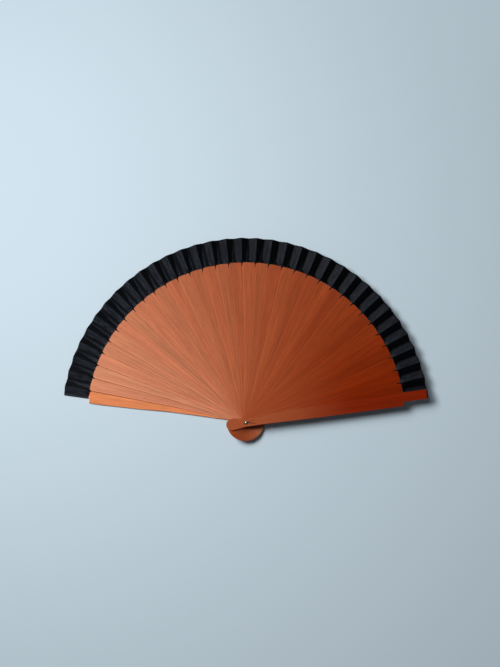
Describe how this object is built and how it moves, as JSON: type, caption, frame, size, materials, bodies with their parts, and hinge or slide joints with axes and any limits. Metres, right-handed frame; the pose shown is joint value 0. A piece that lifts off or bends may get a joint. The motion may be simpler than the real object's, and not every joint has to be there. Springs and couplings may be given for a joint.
{
  "type": "folding hand fan",
  "caption": "Open wooden folding fan: thin sticks turning on one rivet between two guards, with a narrow pleated cloth leaf along the rim.",
  "frame": {"origin": "centre of the flat back face of the rivet's rear cap, on the rivet's axis", "axes": "+Z along the rivet towards the front guard, +Y the way the open fan points, +X to the right seen from the front, on the front guard's side"},
  "size_m": [0.4136, 0.2308, 0.0263],
  "materials": {
    "stick_wood": "reddish-brown fine-grained wood with a thin satin finish",
    "guard_wood": "the same wood, thicker, satin, with slightly worn edges",
    "leaf_cloth": "matt black plain-woven cotton, sharply pleated",
    "rivet_metal": "polished pale brass"
  },
  "bodies": {
    "base": {"back_guard": "guard_wood", "rivet": "rivet_metal", "rear_washer": "rivet_metal", "rear_cap": "rivet_metal", "leaf": "leaf_cloth"},
    "front_guard": {"front_guard": "guard_wood"},
    "stick_01": {"stick_01": "stick_wood"},
    "stick_02": {"stick_02": "stick_wood"},
    "stick_03": {"stick_03": "stick_wood"},
    "stick_04": {"stick_04": "stick_wood"},
    "stick_05": {"stick_05": "stick_wood"},
    "stick_06": {"stick_06": "stick_wood"},
    "stick_07": {"stick_07": "stick_wood"},
    "stick_08": {"stick_08": "stick_wood"},
    "stick_09": {"stick_09": "stick_wood"},
    "stick_10": {"stick_10": "stick_wood"},
    "stick_11": {"stick_11": "stick_wood"},
    "stick_12": {"stick_12": "stick_wood"},
    "stick_13": {"stick_13": "stick_wood"},
    "stick_14": {"stick_14": "stick_wood"},
    "stick_15": {"stick_15": "stick_wood"},
    "stick_16": {"stick_16": "stick_wood"},
    "stick_17": {"stick_17": "stick_wood"},
    "stick_18": {"stick_18": "stick_wood"},
    "stick_19": {"stick_19": "stick_wood"},
    "stick_20": {"stick_20": "stick_wood"},
    "stick_21": {"stick_21": "stick_wood"},
    "stick_22": {"stick_22": "stick_wood"},
    "stick_23": {"stick_23": "stick_wood"},
    "stick_24": {"stick_24": "stick_wood"},
    "stick_25": {"stick_25": "stick_wood"},
    "stick_26": {"stick_26": "stick_wood"},
    "stick_27": {"stick_27": "stick_wood"},
    "stick_28": {"stick_28": "stick_wood"},
    "stick_29": {"stick_29": "stick_wood"},
    "stick_30": {"stick_30": "stick_wood"},
    "stick_31": {"stick_31": "stick_wood"},
    "stick_32": {"stick_32": "stick_wood"},
    "stick_33": {"stick_33": "stick_wood"}
  },
  "joints": [
    {"name": "fold", "type": "hinge", "parent": "base", "child": "front_guard", "pos_m": [0, 0, 0], "axis": [0, 0, 1], "range_deg": [0, 163.4], "deforming": ["leaf"]},
    {"name": "fold_01", "type": "hinge", "parent": "base", "child": "stick_01", "pos_m": [0, 0, 0], "axis": [0, 0, 1], "range_deg": [0, 158.98]},
    {"name": "fold_02", "type": "hinge", "parent": "base", "child": "stick_02", "pos_m": [0, 0, 0], "axis": [0, 0, 1], "range_deg": [0, 154.15]},
    {"name": "fold_03", "type": "hinge", "parent": "base", "child": "stick_03", "pos_m": [0, 0, 0], "axis": [0, 0, 1], "range_deg": [0, 149.32]},
    {"name": "fold_04", "type": "hinge", "parent": "base", "child": "stick_04", "pos_m": [0, 0, 0], "axis": [0, 0, 1], "range_deg": [0, 144.49]},
    {"name": "fold_05", "type": "hinge", "parent": "base", "child": "stick_05", "pos_m": [0, 0, 0], "axis": [0, 0, 1], "range_deg": [0, 139.66]},
    {"name": "fold_06", "type": "hinge", "parent": "base", "child": "stick_06", "pos_m": [0, 0, 0], "axis": [0, 0, 1], "range_deg": [0, 134.83]},
    {"name": "fold_07", "type": "hinge", "parent": "base", "child": "stick_07", "pos_m": [0, 0, 0], "axis": [0, 0, 1], "range_deg": [0, 130]},
    {"name": "fold_08", "type": "hinge", "parent": "base", "child": "stick_08", "pos_m": [0, 0, 0], "axis": [0, 0, 1], "range_deg": [0, 125.17]},
    {"name": "fold_09", "type": "hinge", "parent": "base", "child": "stick_09", "pos_m": [0, 0, 0], "axis": [0, 0, 1], "range_deg": [0, 120.34]},
    {"name": "fold_10", "type": "hinge", "parent": "base", "child": "stick_10", "pos_m": [0, 0, 0], "axis": [0, 0, 1], "range_deg": [0, 115.51]},
    {"name": "fold_11", "type": "hinge", "parent": "base", "child": "stick_11", "pos_m": [0, 0, 0], "axis": [0, 0, 1], "range_deg": [0, 110.68]},
    {"name": "fold_12", "type": "hinge", "parent": "base", "child": "stick_12", "pos_m": [0, 0, 0], "axis": [0, 0, 1], "range_deg": [0, 105.85]},
    {"name": "fold_13", "type": "hinge", "parent": "base", "child": "stick_13", "pos_m": [0, 0, 0], "axis": [0, 0, 1], "range_deg": [0, 101.02]},
    {"name": "fold_14", "type": "hinge", "parent": "base", "child": "stick_14", "pos_m": [0, 0, 0], "axis": [0, 0, 1], "range_deg": [0, 96.19]},
    {"name": "fold_15", "type": "hinge", "parent": "base", "child": "stick_15", "pos_m": [0, 0, 0], "axis": [0, 0, 1], "range_deg": [0, 91.36]},
    {"name": "fold_16", "type": "hinge", "parent": "base", "child": "stick_16", "pos_m": [0, 0, 0], "axis": [0, 0, 1], "range_deg": [0, 86.53]},
    {"name": "fold_17", "type": "hinge", "parent": "base", "child": "stick_17", "pos_m": [0, 0, 0], "axis": [0, 0, 1], "range_deg": [0, 81.7]},
    {"name": "fold_18", "type": "hinge", "parent": "base", "child": "stick_18", "pos_m": [0, 0, 0], "axis": [0, 0, 1], "range_deg": [0, 76.87]},
    {"name": "fold_19", "type": "hinge", "parent": "base", "child": "stick_19", "pos_m": [0, 0, 0], "axis": [0, 0, 1], "range_deg": [0, 72.04]},
    {"name": "fold_20", "type": "hinge", "parent": "base", "child": "stick_20", "pos_m": [0, 0, 0], "axis": [0, 0, 1], "range_deg": [0, 67.21]},
    {"name": "fold_21", "type": "hinge", "parent": "base", "child": "stick_21", "pos_m": [0, 0, 0], "axis": [0, 0, 1], "range_deg": [0, 62.38]},
    {"name": "fold_22", "type": "hinge", "parent": "base", "child": "stick_22", "pos_m": [0, 0, 0], "axis": [0, 0, 1], "range_deg": [0, 57.55]},
    {"name": "fold_23", "type": "hinge", "parent": "base", "child": "stick_23", "pos_m": [0, 0, 0], "axis": [0, 0, 1], "range_deg": [0, 52.72]},
    {"name": "fold_24", "type": "hinge", "parent": "base", "child": "stick_24", "pos_m": [0, 0, 0], "axis": [0, 0, 1], "range_deg": [0, 47.89]},
    {"name": "fold_25", "type": "hinge", "parent": "base", "child": "stick_25", "pos_m": [0, 0, 0], "axis": [0, 0, 1], "range_deg": [0, 43.06]},
    {"name": "fold_26", "type": "hinge", "parent": "base", "child": "stick_26", "pos_m": [0, 0, 0], "axis": [0, 0, 1], "range_deg": [0, 38.23]},
    {"name": "fold_27", "type": "hinge", "parent": "base", "child": "stick_27", "pos_m": [0, 0, 0], "axis": [0, 0, 1], "range_deg": [0, 33.4]},
    {"name": "fold_28", "type": "hinge", "parent": "base", "child": "stick_28", "pos_m": [0, 0, 0], "axis": [0, 0, 1], "range_deg": [0, 28.57]},
    {"name": "fold_29", "type": "hinge", "parent": "base", "child": "stick_29", "pos_m": [0, 0, 0], "axis": [0, 0, 1], "range_deg": [0, 23.74]},
    {"name": "fold_30", "type": "hinge", "parent": "base", "child": "stick_30", "pos_m": [0, 0, 0], "axis": [0, 0, 1], "range_deg": [0, 18.91]},
    {"name": "fold_31", "type": "hinge", "parent": "base", "child": "stick_31", "pos_m": [0, 0, 0], "axis": [0, 0, 1], "range_deg": [0, 14.08]},
    {"name": "fold_32", "type": "hinge", "parent": "base", "child": "stick_32", "pos_m": [0, 0, 0], "axis": [0, 0, 1], "range_deg": [0, 9.25]},
    {"name": "fold_33", "type": "hinge", "parent": "base", "child": "stick_33", "pos_m": [0, 0, 0], "axis": [0, 0, 1], "range_deg": [0, 4.42]}
  ],
  "couplings": [
    {"joint": "fold_01", "follows": "fold", "ratio": 0.97295},
    {"joint": "fold_02", "follows": "fold", "ratio": 0.94339},
    {"joint": "fold_03", "follows": "fold", "ratio": 0.91383},
    {"joint": "fold_04", "follows": "fold", "ratio": 0.88427},
    {"joint": "fold_05", "follows": "fold", "ratio": 0.85471},
    {"joint": "fold_06", "follows": "fold", "ratio": 0.82515},
    {"joint": "fold_07", "follows": "fold", "ratio": 0.79559},
    {"joint": "fold_08", "follows": "fold", "ratio": 0.76603},
    {"joint": "fold_09", "follows": "fold", "ratio": 0.73647},
    {"joint": "fold_10", "follows": "fold", "ratio": 0.70692},
    {"joint": "fold_11", "follows": "fold", "ratio": 0.67736},
    {"joint": "fold_12", "follows": "fold", "ratio": 0.6478},
    {"joint": "fold_13", "follows": "fold", "ratio": 0.61824},
    {"joint": "fold_14", "follows": "fold", "ratio": 0.58868},
    {"joint": "fold_15", "follows": "fold", "ratio": 0.55912},
    {"joint": "fold_16", "follows": "fold", "ratio": 0.52956},
    {"joint": "fold_17", "follows": "fold", "ratio": 0.5},
    {"joint": "fold_18", "follows": "fold", "ratio": 0.47044},
    {"joint": "fold_19", "follows": "fold", "ratio": 0.44088},
    {"joint": "fold_20", "follows": "fold", "ratio": 0.41132},
    {"joint": "fold_21", "follows": "fold", "ratio": 0.38176},
    {"joint": "fold_22", "follows": "fold", "ratio": 0.3522},
    {"joint": "fold_23", "follows": "fold", "ratio": 0.32264},
    {"joint": "fold_24", "follows": "fold", "ratio": 0.29308},
    {"joint": "fold_25", "follows": "fold", "ratio": 0.26353},
    {"joint": "fold_26", "follows": "fold", "ratio": 0.23397},
    {"joint": "fold_27", "follows": "fold", "ratio": 0.20441},
    {"joint": "fold_28", "follows": "fold", "ratio": 0.17485},
    {"joint": "fold_29", "follows": "fold", "ratio": 0.14529},
    {"joint": "fold_30", "follows": "fold", "ratio": 0.11573},
    {"joint": "fold_31", "follows": "fold", "ratio": 0.086169},
    {"joint": "fold_32", "follows": "fold", "ratio": 0.05661},
    {"joint": "fold_33", "follows": "fold", "ratio": 0.02705}
  ]
}
